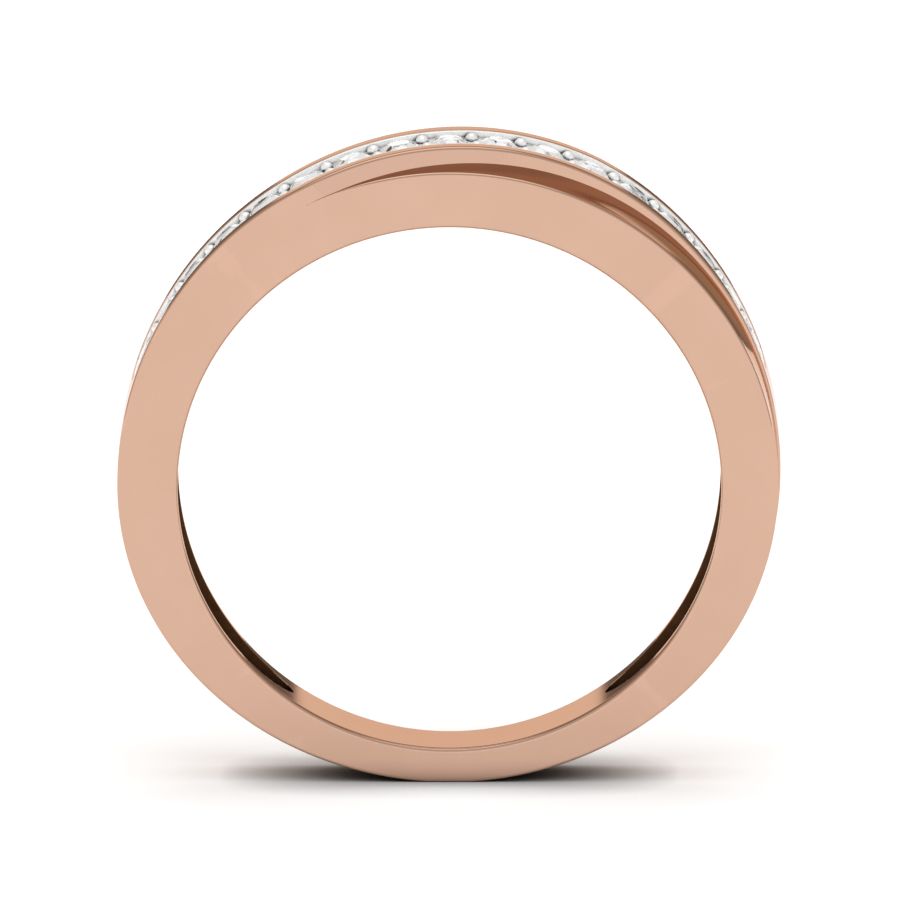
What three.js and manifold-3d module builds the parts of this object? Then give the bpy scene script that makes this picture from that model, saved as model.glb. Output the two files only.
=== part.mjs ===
// A bypass wedding band: a plain ribbon and a raised, stone-set ribbon that crosses over it.
// Millimetres, +Z up. The ring stands on its edge on Z = 0 with its finger axis along Y.
// Angles run from the top of the ring towards +X. The front is the -Y side. The band looks the
// same after half a turn about Z, so the back follows from the front: y(angle) = -y(-angle).
import * as THREE from 'three';
import { mergeVertices } from 'three/addons/utils/BufferGeometryUtils.js';
import Module from 'manifold-3d';

const wasm = await Module();
wasm.setup();

// The round outline of the band.
const FINGER_RADIUS = 8.65;
const OUTER_HALF_WIDTH = 10.575;
const OUTER_HALF_HEIGHT = 9.89;
const OUTER_CENTRE_RISE = 0.1;

// The lowest part is flattened a little, so that the ring stands on its edge.
const AXIS_HEIGHT = 9.77;

// The two side faces are flat and lean apart towards the top.
const HALF_WIDTH_AT_AXIS = 1.645;
const SIDE_TAPER = 0.0516;
const INNER_FILLET = 0.14;
const OUTER_FILLET = 0.12;

// The raised ribbon: how far it rises at the top, and how its front edge drifts to the back.
const RIBBON_RISE = 1.156;
const EDGE_SHIFT = 1.95;
const EDGE_CLEAR = 0.35;
const EDGE_START = -50;
const EDGE_END = 40;

// The wall below that edge: tall on the left, low on the right, fading out below the sides.
const WALL_LOW = 0.08;
const WALL_EXTRA = 0.52;
const WALL_DROP_START = -20;
const WALL_DROP_END = 75;
const WALL_FADE_START = 90;
const WALL_FADE_END = 130;

// The plain ribbon beside the wall.
const PLAIN_RADIUS = 10.5;
const PLAIN_BLEND = 0.06;
const LEDGE_PARTS = [0.35, 0.6, 0.8];
const LEDGE_CURVE = 1.5;
const LEDGE_END = 125;
const LEDGE_SWEEP_END = 126;
const LEDGE_LIFT = 0.02;
const LEDGE_LEAST_WIDTH = 0.04;

// Below the sides the front edge of the outer surface lies a little lower than the back edge.
const LOWER_TILT = 0.07;
const TILT_START = 60;
const TILT_FULL = 110;
const TILT_EASE = 120;
const TILT_END = 175;

// The channel that holds the white inlay, between two rims.
const CHANNEL_END = 71.5;
const CHANNEL_POINT = 3.2;
const CHANNEL_BLUNT = 0.1;
const CHANNEL_DEPTH = 0.77;
const RIM_AT_SIDES = 0.3;
const RIM_EXTRA_AT_TOP = 0.18;

// The white inlay: a shallow tray with a seat for each stone and beads between them.
const INLAY_GAP = 0.02;
const INLAY_DRAWN_IN = 0.0016;
const INLAY_WALL = 0.12;
const INLAY_LEAST_PART = 0.4;
const INLAY_TOP_DEPTH = 0.02;
const INLAY_FLOOR_DEPTH = 0.25;
const INLAY_BOTTOM_DEPTH = CHANNEL_DEPTH - INLAY_GAP;
const BEAD_RADIUS = 0.2;
const BEAD_DEPTH = 0.21;
const BEAD_OFFSET = 0.52;
const BEAD_WALL_MARGIN = 0.15;

// The stones, all round brilliants of one size.
const STONE_COUNT = 17;
const STONE_PITCH = 8.27;
const STONE_RADIUS = 0.6;
const TABLE_DEPTH = 0.02;
const TABLE_RADIUS = 0.285 * 2 * STONE_RADIUS;
const CROWN_SLOPE = Math.tan(THREE.MathUtils.degToRad(34.5));
const PAVILION_SLOPE = Math.tan(THREE.MathUtils.degToRad(40.75));
const GIRDLE_THICKNESS = 0.04;
const CROWN_HEIGHT = (STONE_RADIUS - TABLE_RADIUS) * CROWN_SLOPE;
const STAR_LENGTH = 0.5;
const LOWER_HALF_LENGTH = 0.77;

// The seats, and the small hole that lets light in under each stone.
const SEAT_GAP = 0.02;
const CULET_HOLE_RADIUS = 0.2;
const SEAT_LENGTH = 2;
const LIGHT_HOLE_RADIUS = 0.3;
const LIGHT_HOLE_LENGTH = 3;
const SEAT_SIDES = 12;
const LIGHT_HOLE_SIDES = 10;
const BEAD_SIDES = 8;
const BEAD_BANDS = 5;

// The hollow inside the band, open to the finger.
const HOLLOW_END = 145;
const HOLLOW_END_POWER = 14;
const HOLLOW_LEAST_SIZE = 0.12;
const HOLLOW_DEPTH = 0.9;
const HOLLOW_WALL = 0.3;
const HOLLOW_CORNER = 0.15;

// Degrees between sections, and how far the cutters reach beyond the metal.
const STEP = 4;
const MARGIN = 0.6;

const rad = THREE.MathUtils.degToRad;
const sections = (from, to) => Math.round((to - from) / STEP);

function smoothstep(from, to, value) {
  return THREE.MathUtils.smoothstep(value, from, to);
}

// Radius of the outer ellipse at an angle.
function ellipseRadius(angle) {
  const s = Math.sin(rad(angle)) / OUTER_HALF_WIDTH;
  const c = Math.cos(rad(angle)) / OUTER_HALF_HEIGHT;
  const rise = OUTER_CENTRE_RISE / OUTER_HALF_HEIGHT;
  const a = s * s + c * c;
  const b = c * rise;
  return (b + Math.sqrt(b * b + a * (1 - rise * rise))) / a;
}

// Radius of the raised ribbon's top surface.
function topRadius(angle) {
  const rise = Math.abs(angle) < 90 ? RIBBON_RISE * Math.cos(rad(angle)) ** 2 : 0;
  return ellipseRadius(angle) + rise;
}

// Half the band's width at a height above the finger axis.
function halfWidth(angle, radius) {
  return HALF_WIDTH_AT_AXIS + SIDE_TAPER * radius * Math.cos(rad(angle));
}

// Below the finger axis the outer surface leans a little: how much lower the front edge lies.
function frontTilt(angle) {
  const fade = 1 - smoothstep(TILT_EASE, TILT_END, angle);
  return LOWER_TILT * smoothstep(TILT_START, TILT_FULL, angle) * fade;
}

// How far the raised ribbon's front wall stands behind the band's front face.
function edgeShift(angle) {
  return EDGE_SHIFT * smoothstep(EDGE_START, EDGE_END, angle) - EDGE_CLEAR;
}

function frontEdge(angle) {
  const shift = Math.max(0, edgeShift(angle));
  return shift - halfWidth(angle, topRadius(angle));
}

function backEdge(angle) {
  return -frontEdge(-angle);
}

function wallHeight(angle) {
  const full = WALL_LOW + WALL_EXTRA * (1 - smoothstep(WALL_DROP_START, WALL_DROP_END, angle));
  return full * (1 - smoothstep(WALL_FADE_START, WALL_FADE_END, angle));
}

// The smaller of two values, blended where they meet.
function lower(a, b) {
  return (a + b - Math.hypot(a - b, PLAIN_BLEND)) / 2;
}

// Radius of the plain ribbon at the front face.
function plainRadius(angle) {
  return lower(topRadius(angle) - frontTilt(angle), PLAIN_RADIUS);
}

// The middle line and half-width of the raised ribbon.
function ribbonMiddle(angle) {
  return (frontEdge(angle) + backEdge(angle)) / 2;
}

// Half the channel's width, which closes to a blunt point at each end.
function channelHalfWidth(angle) {
  const ribbon = (backEdge(angle) - frontEdge(angle)) / 2;
  const rim = RIM_AT_SIDES + RIM_EXTRA_AT_TOP * Math.cos(rad(angle)) ** 2;
  const point = CHANNEL_BLUNT + (CHANNEL_END - Math.abs(angle)) / CHANNEL_POINT;
  return (ribbon - rim) * Math.min(1, point);
}

function hollowSize(angle) {
  const part = 1 - (Math.abs(angle) / HOLLOW_END) ** HOLLOW_END_POWER;
  return Math.max(HOLLOW_LEAST_SIZE, Math.sqrt(Math.max(0, part)));
}

// A solid through a row of outlines, each a list of [y, radius] at its angle. A row that goes
// once round the finger closes on itself, and any other is capped at both ends. Each angle can
// be drawn in by a small part, which leaves a gap at the ends.
function sweep(from, to, outline, drawnIn = 0) {
  const whole = to - from === 360;
  const count = sections(from, to);
  const rows = [];
  for (let i = 0; i < count + (whole ? 0 : 1); i += 1) {
    const angle = from + ((to - from) * i) / count;
    const turn = rad(angle * (1 - drawnIn));
    rows.push(outline(angle).map(([y, radius]) => (
      [radius * Math.sin(turn), y, radius * Math.cos(turn)])));
  }
  const points = rows[0].length;
  const index = [];
  for (let i = 0; i < count; i += 1) {
    const next = (i + 1) % rows.length;
    for (let j = 0; j < points; j += 1) {
      const k = (j + 1) % points;
      index.push(i * points + j, i * points + k, next * points + k);
      index.push(i * points + j, next * points + k, next * points + j);
    }
  }
  if (!whole) {
    const last = count * points;
    for (const [a, b, c] of capTriangles(outline(from))) index.push(a, c, b);
    for (const [a, b, c] of capTriangles(outline(to))) index.push(last + a, last + b, last + c);
  }
  const geometry = new THREE.BufferGeometry();
  geometry.setAttribute('position', new THREE.Float32BufferAttribute(rows.flat(2), 3));
  geometry.setIndex(index);
  return geometry;
}

function capTriangles(outline) {
  const contour = outline.map(([y, radius]) => new THREE.Vector2(y, radius));
  return THREE.ShapeUtils.triangulateShape(contour, []);
}

// Closed mesh to solid and back. Triangles that collapse when vertices merge are dropped.
function toSolid(geometry) {
  geometry.deleteAttribute('normal');
  geometry.deleteAttribute('uv');
  const merged = mergeVertices(geometry, 1e-5);
  const corners = merged.index.array;
  const kept = [];
  for (let i = 0; i < corners.length; i += 3) {
    const [a, b, c] = [corners[i], corners[i + 1], corners[i + 2]];
    if (a !== b && b !== c && c !== a) kept.push(a, b, c);
  }
  return new wasm.Manifold(new wasm.Mesh({
    numProp: 3,
    vertProperties: new Float32Array(merged.attributes.position.array),
    triVerts: new Uint32Array(kept),
  }));
}

function toGeometry(solid) {
  const result = solid.getMesh();
  const geometry = new THREE.BufferGeometry();
  geometry.setAttribute('position', new THREE.BufferAttribute(result.vertProperties, 3));
  geometry.setIndex(new THREE.BufferAttribute(result.triVerts, 1));
  return geometry;
}

// The place of something set in the ribbon: its Z axis points out of the top surface and its
// X axis runs along the ribbon. The offset is across the ribbon, the depth below its top.
function ribbonPlace(angle, offset, depth) {
  const point = (at) => new THREE.Vector3(
    topRadius(at) * Math.sin(rad(at)), ribbonMiddle(at), topRadius(at) * Math.cos(rad(at)));
  const along = point(angle + 0.5).sub(point(angle - 0.5)).normalize();
  const out = new THREE.Vector3(-along.z, 0, along.x).normalize();
  const across = new THREE.Vector3().crossVectors(out, along).normalize();
  const place = new THREE.Matrix4().makeBasis(new THREE.Vector3().crossVectors(across, out),
    across, out);
  place.setPosition(point(angle).addScaledVector(across, offset).addScaledVector(out, -depth));
  return place;
}

function stoneAngle(number) {
  return (number - (STONE_COUNT - 1) / 2) * STONE_PITCH;
}

// A corner rounded by three points, from one straight side to the next.
function roundCorner(y, radius, towardsY, towardsRadius, size) {
  const cut = size * (1 - Math.SQRT1_2);
  return [
    [y, radius + towardsRadius * size],
    [y + towardsY * cut, radius + towardsRadius * cut],
    [y + towardsY * size, radius],
  ];
}

function castingOutline(angle) {
  const front = topRadius(angle) - frontTilt(angle);
  const back = topRadius(angle) - frontTilt(-angle);
  const wide = (radius) => halfWidth(angle, radius);
  const outline = [
    ...roundCorner(0, FINGER_RADIUS, 1, 1, INNER_FILLET),
    ...roundCorner(0, FINGER_RADIUS, -1, 1, INNER_FILLET).reverse(),
    ...roundCorner(0, back, -1, -1, OUTER_FILLET),
    ...roundCorner(0, front, 1, -1, OUTER_FILLET).reverse(),
  ];
  return outline.map(([y, radius], i) => {
    const side = i >= 3 && i < 9 ? 1 : -1;
    return [side * wide(radius) + y, radius];
  });
}

// What is cut away in front of the raised ribbon's wall. The outline follows the front face's
// rounded edge, the hollow-ground ledge, the foot of the wall and the wall's rounded top.
function ledgeOutline(angle) {
  const wall = edgeShift(angle) - halfWidth(angle, topRadius(angle));
  const top = topRadius(angle);
  const lift = LEDGE_LIFT * smoothstep(WALL_FADE_START, LEDGE_END, angle);
  const foot = top - wallHeight(angle) + lift;
  const edge = lower(plainRadius(angle) + lift, foot + PLAIN_BLEND / 2);
  const face = Math.min(-halfWidth(angle, edge), wall - LEDGE_LEAST_WIDTH);
  const width = wall - face;
  const fillet = Math.min(INNER_FILLET, width / 3);
  const ledge = LEDGE_PARTS.map((part) => [
    face + fillet + (width - fillet) * part,
    edge + (foot - edge) * part ** LEDGE_CURVE,
  ]);
  return [
    [face - MARGIN, edge - fillet],
    ...roundCorner(face, edge, 1, -1, fillet),
    ...ledge,
    [face + width, foot],
    ...roundCorner(face + width, top, 1, -1, OUTER_FILLET),
    [face + width + OUTER_FILLET, top + MARGIN],
    [face - MARGIN, top + MARGIN],
  ];
}

function channelOutline(angle) {
  const middle = ribbonMiddle(angle);
  const half = channelHalfWidth(angle);
  const floor = topRadius(angle) - CHANNEL_DEPTH;
  const open = topRadius(angle) + MARGIN;
  return [[middle - half, floor], [middle + half, floor], [middle + half, open], [middle - half, open]];
}

function inlayOutline(angle) {
  const middle = ribbonMiddle(angle);
  const half = channelHalfWidth(angle) - INLAY_GAP;
  const inner = Math.max(half - INLAY_WALL, half * INLAY_LEAST_PART);
  const top = topRadius(angle);
  return [
    [middle - half, top - INLAY_BOTTOM_DEPTH],
    [middle + half, top - INLAY_BOTTOM_DEPTH],
    [middle + half, top - INLAY_TOP_DEPTH],
    [middle + inner, top - INLAY_TOP_DEPTH],
    [middle + inner, top - INLAY_FLOOR_DEPTH],
    [middle - inner, top - INLAY_FLOOR_DEPTH],
    [middle - inner, top - INLAY_TOP_DEPTH],
    [middle - half, top - INLAY_TOP_DEPTH],
  ];
}

function hollowOutline(angle) {
  const size = hollowSize(angle);
  const roof = FINGER_RADIUS + HOLLOW_DEPTH * size;
  const half = (radius) => (halfWidth(angle, radius) - HOLLOW_WALL) * size;
  const corner = HOLLOW_CORNER * size;
  return [
    [-half(FINGER_RADIUS), FINGER_RADIUS - MARGIN],
    [half(FINGER_RADIUS), FINGER_RADIUS - MARGIN],
    [half(roof), roof - corner],
    [half(roof) - corner, roof],
    [-half(roof) + corner, roof],
    [-half(roof), roof - corner],
  ];
}

// A turned cutter for one stone: straight above the girdle, then the pavilion's cone, then a hole.
function seatCutter(place) {
  const radius = STONE_RADIUS + SEAT_GAP;
  const girdle = -(CROWN_HEIGHT + GIRDLE_THICKNESS + SEAT_GAP);
  const coneEnd = girdle - (radius - CULET_HOLE_RADIUS) * PAVILION_SLOPE;
  const profile = [
    [0, -SEAT_LENGTH],
    [CULET_HOLE_RADIUS, -SEAT_LENGTH],
    [CULET_HOLE_RADIUS, coneEnd],
    [radius, girdle],
    [radius, MARGIN],
    [0, MARGIN],
  ].map(([x, y]) => new THREE.Vector2(x, y));
  const cutter = new THREE.LatheGeometry(profile, SEAT_SIDES);
  cutter.rotateX(Math.PI / 2);
  cutter.applyMatrix4(place);
  return toSolid(cutter);
}

function lightHole(place) {
  const hole = new THREE.CylinderGeometry(
    LIGHT_HOLE_RADIUS, LIGHT_HOLE_RADIUS, LIGHT_HOLE_LENGTH, LIGHT_HOLE_SIDES);
  hole.rotateX(Math.PI / 2);
  hole.applyMatrix4(place);
  return toSolid(hole);
}

function bead(place) {
  const ball = new THREE.SphereGeometry(BEAD_RADIUS, BEAD_SIDES, BEAD_BANDS);
  ball.rotateX(Math.PI / 2);
  ball.applyMatrix4(place);
  return toSolid(ball);
}

function stonePlaces(depth) {
  return Array.from({ length: STONE_COUNT }, (_, i) => ribbonPlace(stoneAngle(i), 0, depth));
}

function makeBand() {
  const ledge = sweep(EDGE_START, LEDGE_SWEEP_END, ledgeOutline);
  const backLedge = ledge.clone().rotateZ(Math.PI);
  let band = toSolid(sweep(-180, 180, castingOutline));
  band = band.subtract(toSolid(ledge)).subtract(toSolid(backLedge));
  band = band.subtract(toSolid(sweep(-CHANNEL_END, CHANNEL_END, channelOutline)));
  band = band.subtract(toSolid(sweep(-HOLLOW_END, HOLLOW_END, hollowOutline)));
  for (const place of stonePlaces(CHANNEL_DEPTH)) band = band.subtract(lightHole(place));
  return toGeometry(band.trimByPlane([0, 0, 1], -AXIS_HEIGHT));
}

function makeInlay() {
  let inlay = toSolid(sweep(-CHANNEL_END, CHANNEL_END, inlayOutline, INLAY_DRAWN_IN));
  for (let i = 0; i < STONE_COUNT - 1; i += 1) {
    const angle = stoneAngle(i + 0.5);
    const room = channelHalfWidth(angle) - INLAY_GAP - INLAY_WALL - BEAD_WALL_MARGIN;
    const offset = Math.min(BEAD_OFFSET, room);
    inlay = inlay.add(bead(ribbonPlace(angle, offset, BEAD_DEPTH)));
    inlay = inlay.add(bead(ribbonPlace(angle, -offset, BEAD_DEPTH)));
  }
  for (const place of stonePlaces(TABLE_DEPTH)) inlay = inlay.subtract(seatCutter(place));
  return toGeometry(inlay);
}

// A round brilliant, its table at Z = 0 facing up: table, 8 stars, 8 kites, 16 upper and 16 lower
// girdle facets and 8 pavilion mains.
function makeBrilliant() {
  const eighth = Math.PI / 4;
  const ring = (count, turn, radius, z) => Array.from({ length: count }, (_, i) => {
    const angle = (i + turn) * ((2 * Math.PI) / count);
    return [radius * Math.cos(angle), radius * Math.sin(angle), z];
  });
  const half = Math.cos(eighth / 2);
  const starRadius = TABLE_RADIUS * half + STAR_LENGTH * (STONE_RADIUS - TABLE_RADIUS * half);
  const starZ = -CROWN_HEIGHT + (STONE_RADIUS - starRadius * half) * CROWN_SLOPE;
  const lowerRadius = STONE_RADIUS * (1 - LOWER_HALF_LENGTH);
  const girdleZ = -CROWN_HEIGHT - GIRDLE_THICKNESS;
  const lowerZ = girdleZ - (STONE_RADIUS - lowerRadius * half) * PAVILION_SLOPE;
  const vertices = [
    ...ring(8, 0, TABLE_RADIUS, 0),
    ...ring(8, 0.5, starRadius, starZ),
    ...ring(16, 0, STONE_RADIUS, -CROWN_HEIGHT),
    ...ring(16, 0, STONE_RADIUS, girdleZ),
    ...ring(8, 0.5, lowerRadius, lowerZ),
    [0, 0, girdleZ - STONE_RADIUS * PAVILION_SLOPE],
  ];
  const [star, upper, lower, main, culet] = [8, 16, 32, 48, 56];
  const index = [];
  for (let i = 0; i < 8; i += 1) {
    const next = (i + 1) % 8;
    const before = (i + 7) % 8;
    const [left, middle, right] = [2 * i, 2 * i + 1, 2 * next];
    if (i > 0 && i < 7) index.push(0, i, i + 1);
    index.push(i, star + i, next);
    index.push(i, star + before, upper + left, i, upper + left, star + i);
    index.push(star + i, upper + left, upper + middle, star + i, upper + middle, upper + right);
    index.push(main + i, lower + middle, lower + left, main + i, lower + right, lower + middle);
    index.push(culet, main + i, lower + left, culet, lower + left, main + before);
  }
  for (let i = 0; i < 16; i += 1) {
    const next = (i + 1) % 16;
    index.push(upper + i, lower + i, lower + next, upper + i, lower + next, upper + next);
  }
  const geometry = new THREE.BufferGeometry();
  geometry.setAttribute('position', new THREE.Float32BufferAttribute(vertices.flat(), 3));
  geometry.setIndex(index);
  return geometry;
}

function namedMesh(name, geometry, material) {
  const mesh = new THREE.Mesh(geometry, material);
  mesh.name = name;
  return mesh;
}

const roseGold = new THREE.MeshStandardMaterial({ color: '#d9a88c', roughness: 0.08, metalness: 1 });
const whiteGold = new THREE.MeshStandardMaterial({ color: '#dcdcda', roughness: 0.12, metalness: 1 });
const diamond = new THREE.MeshStandardMaterial({ color: '#f4f7fa', roughness: 0, metalness: 0 });

const ring = new THREE.Group();
ring.position.z = AXIS_HEIGHT;
ring.add(namedMesh('band', makeBand(), roseGold));
ring.add(namedMesh('pave_inlay', makeInlay(), whiteGold));
stonePlaces(TABLE_DEPTH).forEach((place, i) => {
  const name = `diamond_${String(i + 1).padStart(2, '0')}`;
  const stone = namedMesh(name, makeBrilliant(), diamond.clone());
  stone.applyMatrix4(place);
  ring.add(stone);
});

export default ring;
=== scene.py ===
import math

import bmesh
import bpy
from mathutils import Matrix, Vector


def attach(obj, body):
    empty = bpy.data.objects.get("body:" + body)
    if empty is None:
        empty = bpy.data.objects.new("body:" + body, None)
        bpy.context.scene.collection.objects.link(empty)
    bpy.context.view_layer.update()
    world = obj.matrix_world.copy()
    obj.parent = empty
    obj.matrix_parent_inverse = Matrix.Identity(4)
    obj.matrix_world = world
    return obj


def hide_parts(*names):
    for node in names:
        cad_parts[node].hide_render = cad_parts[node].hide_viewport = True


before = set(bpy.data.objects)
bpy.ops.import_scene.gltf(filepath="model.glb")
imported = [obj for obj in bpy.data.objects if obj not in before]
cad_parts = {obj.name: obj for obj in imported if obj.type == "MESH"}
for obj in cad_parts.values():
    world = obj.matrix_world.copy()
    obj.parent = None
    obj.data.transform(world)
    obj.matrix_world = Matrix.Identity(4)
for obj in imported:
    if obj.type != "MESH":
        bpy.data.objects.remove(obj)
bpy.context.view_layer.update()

# Lengths are in millimetres until a mesh is made. Angles run from the top towards +X.
# The front is the -Y side, and the back is the front after half a turn about Z.
MM = 0.001

# The round outline and the two side faces, a hair inside the CAD model.
FINGER_RADIUS = 8.65
OUTER_HALF_WIDTH = 10.571
OUTER_HALF_HEIGHT = 9.89
OUTER_CENTRE_RISE = 0.1
AXIS_HEIGHT = 9.77
FOOT_START = 170
HALF_WIDTH_AT_AXIS = 1.64
SIDE_TAPER = 0.0516
INNER_FILLET = 0.14
OUTER_FILLET = 0.1

# The raised ribbon, its wall, and the plain ribbon in front of the wall.
RIBBON_RISE = 1.155
EDGE_SHIFT = 1.95
EDGE_CLEAR = 0.35
EDGE_START = -50
EDGE_END = 40
WALL_LOW = 0.08
WALL_EXTRA = 0.52
WALL_DROP_START = -20
WALL_DROP_END = 75
WALL_FADE_START = 90
WALL_FADE_END = 130
WALL_LEAN = 0.12
WALL_BLEND = 0.01
PLAIN_RADIUS = 10.5
PLAIN_BLEND = 0.06
LEDGE_CURVE = 1.5
LEDGE_MERGE_START = 105
LEDGE_MERGE_END = 126
LOWER_TILT = 0.07

# The channel, the white inlay in it, and the stones.
CHANNEL_END = 71.5
CHANNEL_POINT = 3.2
CHANNEL_BLUNT = 0.1
CHANNEL_DEPTH = 0.77
CHANNEL_ROUND = 0.03
RIM_AT_SIDES = 0.3
RIM_EXTRA_AT_TOP = 0.18
INLAY_GAP = 0.02
INLAY_DRAWN_IN = 0.0016
INLAY_WALL = 0.12
INLAY_LEAST_PART = 0.4
INLAY_TOP_DEPTH = 0.02
INLAY_FLOOR_DEPTH = 0.25
INLAY_ROUND = 0.03
BEAD_RADIUS = 0.2
BEAD_DEPTH = 0.21
BEAD_OFFSET = 0.52
BEAD_WALL_MARGIN = 0.15
STONE_COUNT = 17
STONE_PITCH = 8.27
STONE_RADIUS = 0.6
TABLE_DEPTH = 0.02
CROWN_HEIGHT = 0.43 * STONE_RADIUS * math.tan(math.radians(34.5))
PAVILION_SLOPE = math.tan(math.radians(40.75))
GIRDLE_THICKNESS = 0.04
SEAT_GAP = 0.02
SEAT_LENGTH = 2
SEAT_CLEAR_ABOVE = 0.6
SEAT_SIDES = 48
ROUND_SIDES = 24
BEAD_STEPS = 12
CULET_HOLE_RADIUS = 0.2
LIGHT_HOLE_RADIUS = 0.3
LIGHT_HOLE_LENGTH = 3

# The hollow inside the band, open to the finger.
HOLLOW_END = 145
HOLLOW_END_POWER = 14
HOLLOW_DEPTH = 0.9
HOLLOW_WALL = 0.3
HOLLOW_CORNER = 0.15
HOLLOW_EDGE = 0.05
HOLLOW_PAINT_MARGIN = 0.01

# Points along a straight side: close to both ends, so that shading stays flat between them.
SIDE_PARTS = (0.02, 0.35, 0.65, 0.98)

# Edges bent by more than these degrees stay sharp in the shading.
SHARP_EDGE = 32

# The camera, and what it looks at.
CAMERA_ELEVATION = 14.05
CAMERA_LENS = 1500
CAMERA_SENSOR = 36
FRAME_WIDTH = 28.67
AIM = (0.019, 0, AXIS_HEIGHT + 0.873)

# The materials and the light.
# How far the painted shade in the inlay's corners and recesses reaches.
CREVICE_SHADE_SIZE = 0.2
# Painted glints seen inside the stones, per millimetre.
PAINTED_GLINTS_PER_MM = 5
# How far the painted contact shadow on the floor reaches.
CONTACT_SHADE_SIZE = 2.2
FLOOR_RADIUS = 130
OVERHEAD_LIGHT = 1.75
OVERHEAD_COLOUR = (0.94, 1.0, 1.05)
OVERHEAD_WIDTH = 120
CEILING = (0.47, 0.38, 0.3)


def sine(angle):
    return math.sin(math.radians(angle))


def cosine(angle):
    return math.cos(math.radians(angle))


def smoothstep(start, end, value):
    part = min(1, max(0, (value - start) / (end - start)))
    return part * part * (3 - 2 * part)


def mix(a, b, part):
    return a + (b - a) * part


def lower(a, b, blend):
    return (a + b - math.hypot(a - b, blend)) / 2


def arc(count):
    """(1 - cos, 1 - sin) of equal steps through a quarter turn."""
    steps = [math.pi / 2 * i / (count - 1) for i in range(count)]
    return [(1 - math.cos(step), 1 - math.sin(step)) for step in steps]


# ---- camera ----

def make_camera():
    data = bpy.data.cameras.new("camera")
    data.lens = CAMERA_LENS
    data.sensor_width = CAMERA_SENSOR
    distance = FRAME_WIDTH * CAMERA_LENS / CAMERA_SENSOR
    data.clip_start = 0.01
    data.clip_end = 10
    camera = bpy.data.objects.new("camera", data)
    away = Vector((0, -cosine(CAMERA_ELEVATION), sine(CAMERA_ELEVATION)))
    camera.location = (Vector(AIM) + away * distance) * MM
    camera.rotation_euler = (math.radians(90 - CAMERA_ELEVATION), 0, 0)
    bpy.context.collection.objects.link(camera)
    bpy.context.scene.camera = camera


make_camera()


# ---- shape of the band ----

def ellipse_radius(angle):
    """Radius of the round outline, which is a little flattened at the foot."""
    s = sine(angle) / OUTER_HALF_WIDTH
    c = cosine(angle) / OUTER_HALF_HEIGHT
    rise = OUTER_CENTRE_RISE / OUTER_HALF_HEIGHT
    a = s * s + c * c
    b = c * rise
    radius = (b + math.sqrt(b * b + a * (1 - rise * rise))) / a
    return min(radius, AXIS_HEIGHT / abs(cosine(angle))) if abs(angle) > FOOT_START else radius


def top_radius(angle):
    rise = RIBBON_RISE * cosine(angle) ** 2 if abs(angle) < 90 else 0
    return ellipse_radius(angle) + rise


def half_width(angle, radius):
    return HALF_WIDTH_AT_AXIS + SIDE_TAPER * radius * cosine(angle)


def front_tilt(angle):
    return LOWER_TILT * smoothstep(60, 110, angle) * (1 - smoothstep(120, 175, angle))


def edge_shift(angle):
    shift = max(0, EDGE_SHIFT * smoothstep(EDGE_START, EDGE_END, angle) - EDGE_CLEAR)
    return mix(shift, OUTER_FILLET, smoothstep(LEDGE_MERGE_END, 180, angle))


def front_edge(angle):
    return edge_shift(angle) - half_width(angle, top_radius(angle))


def wall_height(angle):
    full = WALL_LOW + WALL_EXTRA * (1 - smoothstep(WALL_DROP_START, WALL_DROP_END, angle))
    return full * (1 - smoothstep(WALL_FADE_START, WALL_FADE_END, angle))


def ribbon_middle(angle):
    return (front_edge(angle) - front_edge(-angle)) / 2


def channel_half_width(angle):
    ribbon = -(front_edge(-angle) + front_edge(angle)) / 2
    rim = RIM_AT_SIDES + RIM_EXTRA_AT_TOP * cosine(angle) ** 2
    point = CHANNEL_BLUNT + (CHANNEL_END - abs(angle)) / CHANNEL_POINT
    return (ribbon - rim) * min(1, point)


def hollow_size(angle):
    return math.sqrt(max(0, 1 - (abs(angle) / HOLLOW_END) ** HOLLOW_END_POWER))


def outer_surface(angle, y):
    """Radius of the outer surface at y: level above the finger, a little tilted below it."""
    half = half_width(angle, top_radius(angle))
    across = (y + half) / (2 * half)
    return top_radius(angle) - mix(front_tilt(angle), front_tilt(-angle), across)


def wall_shape(angle):
    """Radius at the foot of the ribbon's front wall, at its top, and of its rounded top edge.
    Near the bottom of the ring there is no wall, and the foot slides along the flat side."""
    rim = outer_surface(angle, front_edge(angle))
    merged = smoothstep(LEDGE_MERGE_START, LEDGE_MERGE_END, angle)
    foot = mix(lower(top_radius(angle) - wall_height(angle), rim, WALL_BLEND), rim, merged)
    foot = mix(foot, FINGER_RADIUS + INNER_FILLET, smoothstep(-LEDGE_MERGE_END, -180, angle))
    return foot, rim, min(OUTER_FILLET, (rim - foot) * 0.7)


def rim_start(angle):
    return front_edge(angle) + wall_shape(angle)[2]


def hollow_side(angle):
    """From the middle of the hollow's roof to the start of the inner fillet, as [y, radius]."""
    size = hollow_size(angle)
    roof = FINGER_RADIUS + HOLLOW_DEPTH * size
    roof_half = (half_width(angle, roof) - HOLLOW_WALL) * size
    mouth_half = (half_width(angle, FINGER_RADIUS) - HOLLOW_WALL) * size
    corner = HOLLOW_CORNER * size
    edge = HOLLOW_EDGE * size
    inner_start = mouth_half + edge
    inner_end = half_width(angle, FINGER_RADIUS) - INNER_FILLET
    points = [(0, roof), ((corner - roof_half) / 2, roof)]
    points += [(corner * run - roof_half, roof - corner * rise) for rise, run in arc(5)]
    points += [(-mouth_half - edge * rise, FINGER_RADIUS + edge * run) for rise, run in arc(4)]
    points += [(-mix(inner_start, inner_end, part), FINGER_RADIUS) for part in SIDE_PARTS]
    return points


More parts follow.
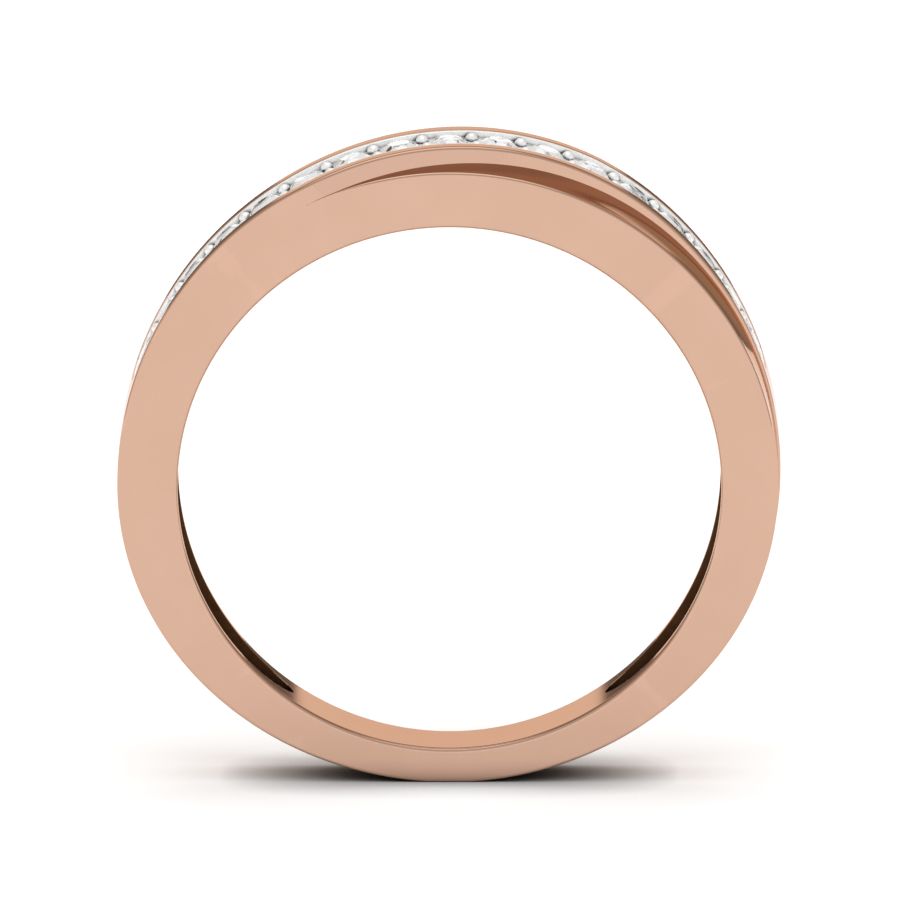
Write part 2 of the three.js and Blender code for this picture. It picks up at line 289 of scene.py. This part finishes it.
def front_side(angle):
    """The inner fillet, the flat front face, the ledge and the wall, up to the rim."""
    points = []
    for rise, run in arc(7):
        radius = FINGER_RADIUS + INNER_FILLET * rise
        points.append((INNER_FILLET * run - half_width(angle, radius), radius))
    shift = edge_shift(angle)
    foot, rim, round_top = wall_shape(angle)
    merged = smoothstep(LEDGE_MERGE_START, LEDGE_MERGE_END, angle)
    face_end = top_radius(angle) - front_tilt(angle)
    plain = lower(lower(face_end, PLAIN_RADIUS, PLAIN_BLEND), foot + PLAIN_BLEND / 2, PLAIN_BLEND)
    plain = mix(plain, face_end, merged)
    lean = min(WALL_LEAN, shift / max(rim - foot, 0.01) / 2)
    forward = lean * (rim - foot)
    width = shift - forward - half_width(angle, foot) + half_width(angle, plain)
    if shift == 0 or width <= 0:
        plain, width = foot, 0
    fillet = min(OUTER_FILLET, width / mix(3, 1, merged))
    start = FINGER_RADIUS + INNER_FILLET
    for part in SIDE_PARTS:
        radius = mix(start, plain - fillet, part)
        points.append((-half_width(angle, radius), radius))
    for rise, run in arc(7):
        radius = plain - fillet * run
        points.append((fillet * rise - half_width(angle, radius), radius))
    ledge_start = fillet - half_width(angle, plain)
    ledge_end = ledge_start + max(0, width - fillet)
    for part in (0.06, 0.2, 0.35, 0.5, 0.65, 0.8, 0.93):
        points.append((mix(ledge_start, ledge_end, part), mix(plain, foot, part ** LEDGE_CURVE)))
    points.append((ledge_end, foot))
    for part in SIDE_PARTS:
        radius = mix(foot, rim - round_top, part)
        points.append((shift - lean * (rim - radius) - half_width(angle, radius), radius))
    for rise, run in arc(7):
        radius = rim - round_top * run
        y = shift - lean * (rim - radius) - half_width(angle, radius)
        points.append((y + round_top * rise, radius))
    return points


def rim_side(angle):
    """The rim beside the channel, then the channel's wall and floor, up to its middle."""
    middle = (rim_start(angle) - rim_start(-angle)) / 2
    half = channel_half_width(angle) if abs(angle) <= CHANNEL_END else 0
    depth = CHANNEL_DEPTH if abs(angle) <= CHANNEL_END else 0
    size = min(CHANNEL_ROUND, half / 3)
    edge = middle - half - size
    points = []
    for part in SIDE_PARTS:
        y = mix(rim_start(angle), edge, part)
        points.append((y, outer_surface(angle, y)))
    for rise, run in arc(4):
        y = middle - half - size * run
        points.append((y, outer_surface(angle, edge) - size * rise))
    floor = outer_surface(angle, middle) - depth
    return points + [(middle - half, floor), (middle, floor)]


def half_outline(angle):
    return hollow_side(angle) + front_side(angle) + rim_side(angle)


def outline(angle):
    """The whole outline at an angle. The back half is the front half at the opposite angle."""
    back = [(-y, radius) for y, radius in half_outline(-angle)]
    return half_outline(angle) + back[-2:0:-1]


def section_angles():
    """Angles of the sections: closer together where the ledge starts and where the channel
    and the hollow end."""
    zones = [(0, 18, 1), (18, 42, 0.5), (42, 66, 1), (66, 71.5, 0.25), (71.52, 74, 0.62),
             (74, 130, 1), (130, 142, 0.5), (142, 145, 0.2), (145.02, 146, 0.49), (146, 180, 1)]
    positive = []
    for start, end, step in zones:
        count = round((end - start) / step)
        positive += [start + (end - start) * i / count for i in range(count + 1)]
    return sorted(set(positive) | {-angle for angle in positive})


def sweep_mesh(name, angles, shape, drawn_in=0):
    """A mesh through the outlines at these angles. Its ends are closed, unless it goes all the
    way round and they meet. Points that lie together are merged."""
    mesh = bmesh.new()
    rings = []
    for angle in angles:
        turn = angle * (1 - drawn_in)
        rings.append([mesh.verts.new((radius * sine(turn) * MM, y * MM,
                                      (radius * cosine(turn) + AXIS_HEIGHT) * MM))
                      for y, radius in shape(angle)])
    count = len(rings[0])
    for near, far in zip(rings, rings[1:]):
        for i in range(count):
            k = (i + 1) % count
            mesh.faces.new((near[i], near[k], far[k], far[i]))
    if angles[-1] - angles[0] < 360:
        mesh.faces.new(rings[0])
        mesh.faces.new(reversed(rings[-1]))
    bmesh.ops.remove_doubles(mesh, verts=mesh.verts, dist=1e-6)
    bmesh.ops.dissolve_degenerate(mesh, edges=mesh.edges, dist=1e-8)
    bmesh.ops.recalc_face_normals(mesh, faces=mesh.faces)
    return finish_mesh(name, mesh)


def finish_mesh(name, mesh):
    data = bpy.data.meshes.new(name)
    mesh.to_mesh(data)
    mesh.free()
    piece = bpy.data.objects.new(name, data)
    bpy.context.collection.objects.link(piece)
    return piece


def cut(piece, operation, cutter):
    """Adds the cutter to the piece or takes it away, and removes the cutter."""
    modifier = piece.modifiers.new("cut", "BOOLEAN")
    modifier.operation = operation
    modifier.object = cutter
    modifier.solver = "EXACT"
    graph = bpy.context.evaluated_depsgraph_get()
    data = bpy.data.meshes.new_from_object(piece.evaluated_get(graph))
    piece.modifiers.clear()
    piece.data = data
    bpy.data.objects.remove(cutter)


def smooth(piece):
    for polygon in piece.data.polygons:
        polygon.use_smooth = True
    piece.data.set_sharp_from_angle(angle=math.radians(SHARP_EDGE))


# ---- what is set in the ribbon ----

def ribbon_place(angle, offset, depth):
    """Where something is set: its Z axis points out of the ribbon, its X axis runs along it."""
    def point(at):
        radius = top_radius(at)
        return Vector((radius * sine(at), ribbon_middle(at), radius * cosine(at) + AXIS_HEIGHT))
    along = (point(angle + 0.5) - point(angle - 0.5)).normalized()
    out = Vector((-along.z, 0, along.x)).normalized()
    across = out.cross(along).normalized()
    place = Matrix((across.cross(out), across, out)).transposed().to_4x4()
    place.translation = point(angle) + across * offset - out * depth
    return place


def stone_angle(number):
    return (number - (STONE_COUNT - 1) / 2) * STONE_PITCH


def lathe(mesh, place, profile, sides):
    """A turned solid from [radius, height] points. The first and last lie on its axis."""
    rings = []
    for radius, height in profile:
        count = sides if radius else 1
        ring = [mesh.verts.new(place @ Vector((
            radius * cosine(360 * i / sides), radius * sine(360 * i / sides), height)) * MM)
            for i in range(count)]
        rings.append(ring)
    for low, high in zip(rings, rings[1:]):
        for i in range(sides):
            k = (i + 1) % sides
            corners = [low[i % len(low)], low[k % len(low)], high[k % len(high)], high[i % len(high)]]
            mesh.faces.new(list(dict.fromkeys(corners)))


def light_holes():
    mesh = bmesh.new()
    half = LIGHT_HOLE_LENGTH / 2
    profile = [(0, -half), (LIGHT_HOLE_RADIUS, -half), (LIGHT_HOLE_RADIUS, half), (0, half)]
    for number in range(STONE_COUNT):
        lathe(mesh, ribbon_place(stone_angle(number), 0, CHANNEL_DEPTH), profile, ROUND_SIDES)
    bmesh.ops.recalc_face_normals(mesh, faces=mesh.faces)
    return finish_mesh("light_holes", mesh)


def seats():
    mesh = bmesh.new()
    radius = STONE_RADIUS + SEAT_GAP
    girdle = -(CROWN_HEIGHT + GIRDLE_THICKNESS + SEAT_GAP)
    cone_end = girdle - (radius - CULET_HOLE_RADIUS) * PAVILION_SLOPE
    profile = [(0, -SEAT_LENGTH), (CULET_HOLE_RADIUS, -SEAT_LENGTH), (CULET_HOLE_RADIUS, cone_end),
               (radius, girdle), (radius, SEAT_CLEAR_ABOVE), (0, SEAT_CLEAR_ABOVE)]
    for number in range(STONE_COUNT):
        lathe(mesh, ribbon_place(stone_angle(number), 0, TABLE_DEPTH), profile, SEAT_SIDES)
    bmesh.ops.recalc_face_normals(mesh, faces=mesh.faces)
    return finish_mesh("seats", mesh)


def beads():
    mesh = bmesh.new()
    profile = [(BEAD_RADIUS * sine(180 * i / BEAD_STEPS) if 0 < i < BEAD_STEPS else 0,
                -BEAD_RADIUS * cosine(180 * i / BEAD_STEPS)) for i in range(BEAD_STEPS + 1)]
    for number in range(STONE_COUNT - 1):
        angle = stone_angle(number + 0.5)
        room = channel_half_width(angle) - INLAY_GAP - INLAY_WALL - BEAD_WALL_MARGIN
        offset = min(BEAD_OFFSET, room)
        lathe(mesh, ribbon_place(angle, offset, BEAD_DEPTH), profile, ROUND_SIDES)
        lathe(mesh, ribbon_place(angle, -offset, BEAD_DEPTH), profile, ROUND_SIDES)
    bmesh.ops.recalc_face_normals(mesh, faces=mesh.faces)
    return finish_mesh("beads", mesh)


def inlay_outline(angle):
    """The inlay's tray: flat below, with rounded wall tops and a hollow floor."""
    middle = ribbon_middle(angle)
    half = channel_half_width(angle) - INLAY_GAP
    inner = max(half - INLAY_WALL, half * INLAY_LEAST_PART)
    top = top_radius(angle) - INLAY_TOP_DEPTH
    floor = top_radius(angle) - INLAY_FLOOR_DEPTH
    size = min(INLAY_ROUND, (half - inner) / 3)
    side = [(half, top_radius(angle) - CHANNEL_DEPTH + INLAY_GAP)]
    side += [(half - size * rise, top - size * run) for rise, run in arc(4)]
    side += [(inner + size * run, top - size * rise) for rise, run in arc(4)]
    side += [(inner - size * rise, floor + size * run) for rise, run in arc(4)]
    return ([(middle - y, radius) for y, radius in side]
            + [(middle + y, radius) for y, radius in reversed(side)])


def make_band():
    piece = sweep_mesh("band_surface", section_angles(), outline)
    cut(piece, "DIFFERENCE", light_holes())
    smooth(piece)
    return piece


def make_inlay():
    angles = [angle for angle in section_angles() if abs(angle) <= CHANNEL_END]
    piece = sweep_mesh("pave_inlay_surface", angles, inlay_outline, INLAY_DRAWN_IN)
    cut(piece, "UNION", beads())
    cut(piece, "DIFFERENCE", seats())
    smooth(piece)
    return piece


# ---- materials ----

def grey(value):
    return (value, value, value)


class Nodes:
    """A material's or world's node tree, with short ways to add and join nodes."""

    def __init__(self, tree):
        self.tree = tree
        self.tree.nodes.clear()

    def add(self, kind, **values):
        node = self.tree.nodes.new(kind)
        for name, value in values.items():
            setattr(node, name, value)
        return node

    def feed(self, socket, value):
        """Joins another node's output to the socket, or sets the socket to a fixed value."""
        if isinstance(value, bpy.types.NodeSocket):
            self.tree.links.new(value, socket)
        else:
            socket.default_value = value

    def put(self, node, **values):
        for name, value in values.items():
            self.feed(node.inputs[name.replace("_", " ")], value)
        return node

    def noise(self, place, scale, detail=3, stretch=(1, 1, 1), turn=(0, 0, 0)):
        """Noise with this many features per millimetre, drawn out along some axes."""
        mapping = self.add("ShaderNodeMapping")
        per_metre = scale / MM
        self.put(mapping, Vector=place, Rotation=[math.radians(value) for value in turn],
                 Scale=[per_metre * value for value in stretch])
        node = self.put(self.add("ShaderNodeTexNoise"), Vector=mapping.outputs["Vector"],
                        Scale=1.0, Detail=detail, Roughness=0.55)
        return node.outputs["Fac"]

    def ramp(self, value, stops):
        node = self.put(self.add("ShaderNodeValToRGB"), Fac=value)
        elements = node.color_ramp.elements
        while len(elements) < len(stops):
            elements.new(0.5)
        for element, (position, colour) in zip(elements, stops):
            element.position = position
            element.color = (*colour, 1)
        return node.outputs["Color"]

    def range(self, value, low, high, start=0.0, end=1.0):
        node = self.put(self.add("ShaderNodeMapRange"), Value=value, From_Min=start, From_Max=end,
                        To_Min=low, To_Max=high)
        return node.outputs["Result"]

    def math(self, operation, a, b):
        node = self.add("ShaderNodeMath", operation=operation)
        for socket, value in zip(node.inputs, (a, b)):
            self.feed(socket, value)
        return node.outputs[0]

    def blend(self, part, a, b):
        node = self.add("ShaderNodeMix", data_type="RGBA")
        self.feed(node.inputs[0], part)
        for socket, value in zip((node.inputs[6], node.inputs[7]), (a, b)):
            self.feed(socket, (*value, 1) if isinstance(value, tuple) else value)
        return node.outputs[2]


def new_material(name):
    material = bpy.data.materials.new(name)
    material.use_nodes = True
    nodes = Nodes(material.node_tree)
    shader = nodes.add("ShaderNodeBsdfPrincipled")
    output = nodes.add("ShaderNodeOutputMaterial")
    nodes.put(output, Surface=shader.outputs["BSDF"])
    place = nodes.add("ShaderNodeTexCoord").outputs["Object"]
    return material, nodes, shader, place


def polished_metal(name, light, dark, rough, scratch, edge_tint, metallic=1.0, painted_shade_colour=None):
    """Metal with faint cloudiness in colour and gloss, hair-fine polishing marks two ways, and
    rounded edges a little lighter. Corners and other recesses are darkened with painted shade if a
    shade colour is given."""
    material, nodes, shader, place = new_material(name)
    cloud = nodes.noise(place, 0.35, 4)
    edges = nodes.range(nodes.add("ShaderNodeNewGeometry").outputs["Pointiness"], 0, 0.5, 0.5, 0.62)
    colour = nodes.blend(nodes.range(cloud, 0, 1, 0.35, 0.65), dark, light)
    # Rounded edges a little lighter than the rest.
    lighter_edge = tuple(min(1, value * 1.06) for value in light)
    colour = nodes.blend(edges, colour, lighter_edge)
    # Painted shade: ambient occlusion darkens the colour in corners and recesses, such as round the
    # beads and stone seats.
    if painted_shade_colour:
        shade = nodes.put(nodes.add("ShaderNodeAmbientOcclusion", samples=8),
                          Distance=CREVICE_SHADE_SIZE * MM).outputs["AO"]
        colour = nodes.blend(nodes.range(shade, 0, 1, 0.5, 0.85), painted_shade_colour, colour)
    marks = nodes.noise(place, 1.6, 3, (1, 30, 1), (20, 0, 35))
    cross = nodes.noise(place, 1.6, 3, (26, 1, 1), (0, 15, -25))
    fine = nodes.math("ADD", marks, cross)
    gloss = nodes.math("ADD", nodes.range(cloud, rough * 0.75, rough * 1.25, 0.3, 0.7),
                       nodes.range(fine, 0, rough * 0.5, 0.9, 1.3))
    bump = nodes.put(nodes.add("ShaderNodeBump"), Height=fine, Strength=1.0,
                     Distance=scratch * MM)
    nodes.put(shader, Base_Color=colour, Metallic=metallic, Roughness=gloss,
              Specular_Tint=(*edge_tint, 1), Normal=bump.outputs["Normal"])
    return material


def diamond_material():
    """Colourless diamond with painted reflections: its facets, and painted smaller ones seen through
    them, are bright or dark each on its own, like the glints of a brilliant-cut stone."""
    material, nodes, shader, place = new_material("diamond_clear")
    facet = nodes.add("ShaderNodeTexCoord").outputs["Normal"]
    facet_glint = nodes.put(nodes.add("ShaderNodeTexNoise"), Vector=facet, Scale=2.3, Detail=1.0)
    mapping = nodes.put(nodes.add("ShaderNodeMapping"), Vector=place,
                        Scale=[PAINTED_GLINTS_PER_MM / MM, PAINTED_GLINTS_PER_MM / MM, 1])
    inner = nodes.put(nodes.add("ShaderNodeTexVoronoi"), Vector=mapping.outputs["Vector"],
                      Scale=1.0)
    inner = nodes.put(nodes.add("ShaderNodeSeparateColor"), Color=inner.outputs["Color"])
    tone = nodes.math("ADD", nodes.range(facet_glint.outputs["Fac"], -0.25, 0.25, 0.3, 0.7),
                      inner.outputs["Red"])
    # Painted reflections: the facet and inner tones make a mosaic of bright and dark glints.
    colour = nodes.ramp(tone, [(0.06, grey(0.04)), (0.12, grey(0.45)), (0.22, grey(0.6)),
                               (0.3, grey(1.0))])
    haze = nodes.range(nodes.noise(place, 1.5, 2), 0.0, 0.02, 0.3, 0.7)
    nodes.put(shader, Base_Color=colour, Roughness=haze, IOR=2.417, Transmission_Weight=0.3)
    return material


def floor_material():
    """White paper with a painted contact shadow: darkened where something touches it or comes close
    to it.
    """
    material, nodes, shader, place = new_material("floor_white")
    tone = nodes.blend(nodes.noise(place, 0.01, 2), grey(0.94), grey(0.96))
    contact_shadow = nodes.put(nodes.add("ShaderNodeAmbientOcclusion", samples=8),
                        Distance=CONTACT_SHADE_SIZE * MM).outputs["AO"]
    # Painted shadow: ambient occlusion darkens the floor colour near the ring.
    nodes.put(shader, Base_Color=nodes.blend(contact_shadow, grey(0.02), tone),
              Roughness=1.0, Specular_IOR_Level=0.0)
    return material


def paint(piece, material):
    piece.data.materials.clear()
    piece.data.materials.append(material)


def paint_hollow(piece, material):
    """Gives the walls and roof of the hollow inside the band a second material: unpolished gold, made
    near black to paint the hollow's shade.
    """
    piece.data.materials.append(material)
    for polygon in piece.data.polygons:
        x, y, z = polygon.center / MM
        radius = math.hypot(x, z - AXIS_HEIGHT)
        side = abs(y) - HOLLOW_EDGE
        angle = math.degrees(math.atan2(x, z - AXIS_HEIGHT))
        lowest = FINGER_RADIUS + HOLLOW_PAINT_MARGIN
        deep = lowest < radius < FINGER_RADIUS + HOLLOW_DEPTH + 2 * HOLLOW_PAINT_MARGIN
        if deep and side < half_width(angle, radius) - HOLLOW_WALL:
            polygon.material_index = 1


# ---- stage ----

def make_floor():
    mesh = bmesh.new()
    bmesh.ops.create_circle(mesh, cap_ends=True, segments=128, radius=FLOOR_RADIUS * MM)
    piece = finish_mesh("floor", mesh)
    paint(piece, floor_material())


def make_light():
    """A studio: a low pale panel behind the ring with a dark strip under it, a warm grey ceiling,
    grey to the sides and in front, and white straight above. A broad light from overhead gives
    the floor its brightness, and isn't seen in reflections."""
    world = bpy.data.worlds.new("studio")
    world.use_nodes = True
    bpy.context.scene.world = world
    nodes = Nodes(world.node_tree)
    direction = nodes.add("ShaderNodeTexCoord").outputs["Generated"]
    split = nodes.put(nodes.add("ShaderNodeSeparateXYZ"), Vector=direction)
    height = split.outputs["Z"]
    ceiling = [(0.36, CEILING), (0.86, CEILING), (0.93, grey(1.35))]
    back = nodes.ramp(height, [
        (0.0, grey(0.2)), (0.088, grey(0.2)), (0.102, grey(1.15)), (0.29, grey(1.15))] + ceiling)
    beside = nodes.ramp(height, [(0.0, grey(0.75)), (0.29, grey(0.75))] + ceiling)
    front = nodes.ramp(height, [
        (0.0, grey(1.15)), (0.12, grey(1.1)), (0.25, grey(0.75)), (0.5, grey(0.75)),
        (0.6, grey(0.6)), (0.86, grey(0.65)), (0.93, grey(1.35))])
    corner = nodes.ramp(height, ceiling[1:])
    behind = nodes.range(split.outputs["Y"], 0, 1, 0.3, 0.55)
    middle = nodes.range(nodes.math("ABSOLUTE", split.outputs["X"], 0), 1, 0, 0.28, 0.36)
    colour = nodes.blend(nodes.range(split.outputs["Y"], 0, 1, -0.3, 0), front, beside)
    colour = nodes.blend(behind, colour, corner)
    colour = nodes.blend(nodes.math("MULTIPLY", behind, middle), colour, back)
    background = nodes.put(nodes.add("ShaderNodeBackground"), Color=colour, Strength=1.0)
    nodes.put(nodes.add("ShaderNodeOutputWorld"), Surface=background.outputs[0])
    bpy.context.scene.view_settings.view_transform = "Standard"
    data = bpy.data.lights.new("overhead", "SUN")
    data.energy = OVERHEAD_LIGHT
    data.color = OVERHEAD_COLOUR
    data.angle = math.radians(OVERHEAD_WIDTH)
    overhead = bpy.data.objects.new("overhead", data)
    overhead.location = (0, 0, 1)
    overhead.visible_glossy = False
    bpy.context.collection.objects.link(overhead)


# ---- the pieces ----

rose_gold = polished_metal("rose_gold_polished", (0.62, 0.394, 0.292), (0.6, 0.378, 0.278),
                           0.06, 0.00008, (0.84, 0.64, 0.52))
# Unpolished gold for inside the hollow, made near black as painted shade.
shaded_hollow_gold = polished_metal("rose_gold_unpolished_painted_shade", (0.1, 0.045, 0.02), (0.06, 0.025, 0.01),
                          0.4, 0.0004, (0.4, 0.3, 0.22))
# The white gold's corners and recesses are darkened to dark grey with painted shade.
white_gold = polished_metal("white_gold_bright", (0.94, 0.94, 0.93), (0.89, 0.89, 0.88),
                            0.2, 0.00005, (1, 1, 1), 0.4, (0.07, 0.07, 0.07))
diamond = diamond_material()

band = make_band()
paint(band, rose_gold)
paint_hollow(band, shaded_hollow_gold)
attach(band, "root")
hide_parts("band")

inlay = make_inlay()
paint(inlay, white_gold)
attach(inlay, "root")
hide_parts("pave_inlay")

for number in range(STONE_COUNT):
    paint(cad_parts[f"diamond_{number + 1:02d}"], diamond)

make_floor()
make_light()
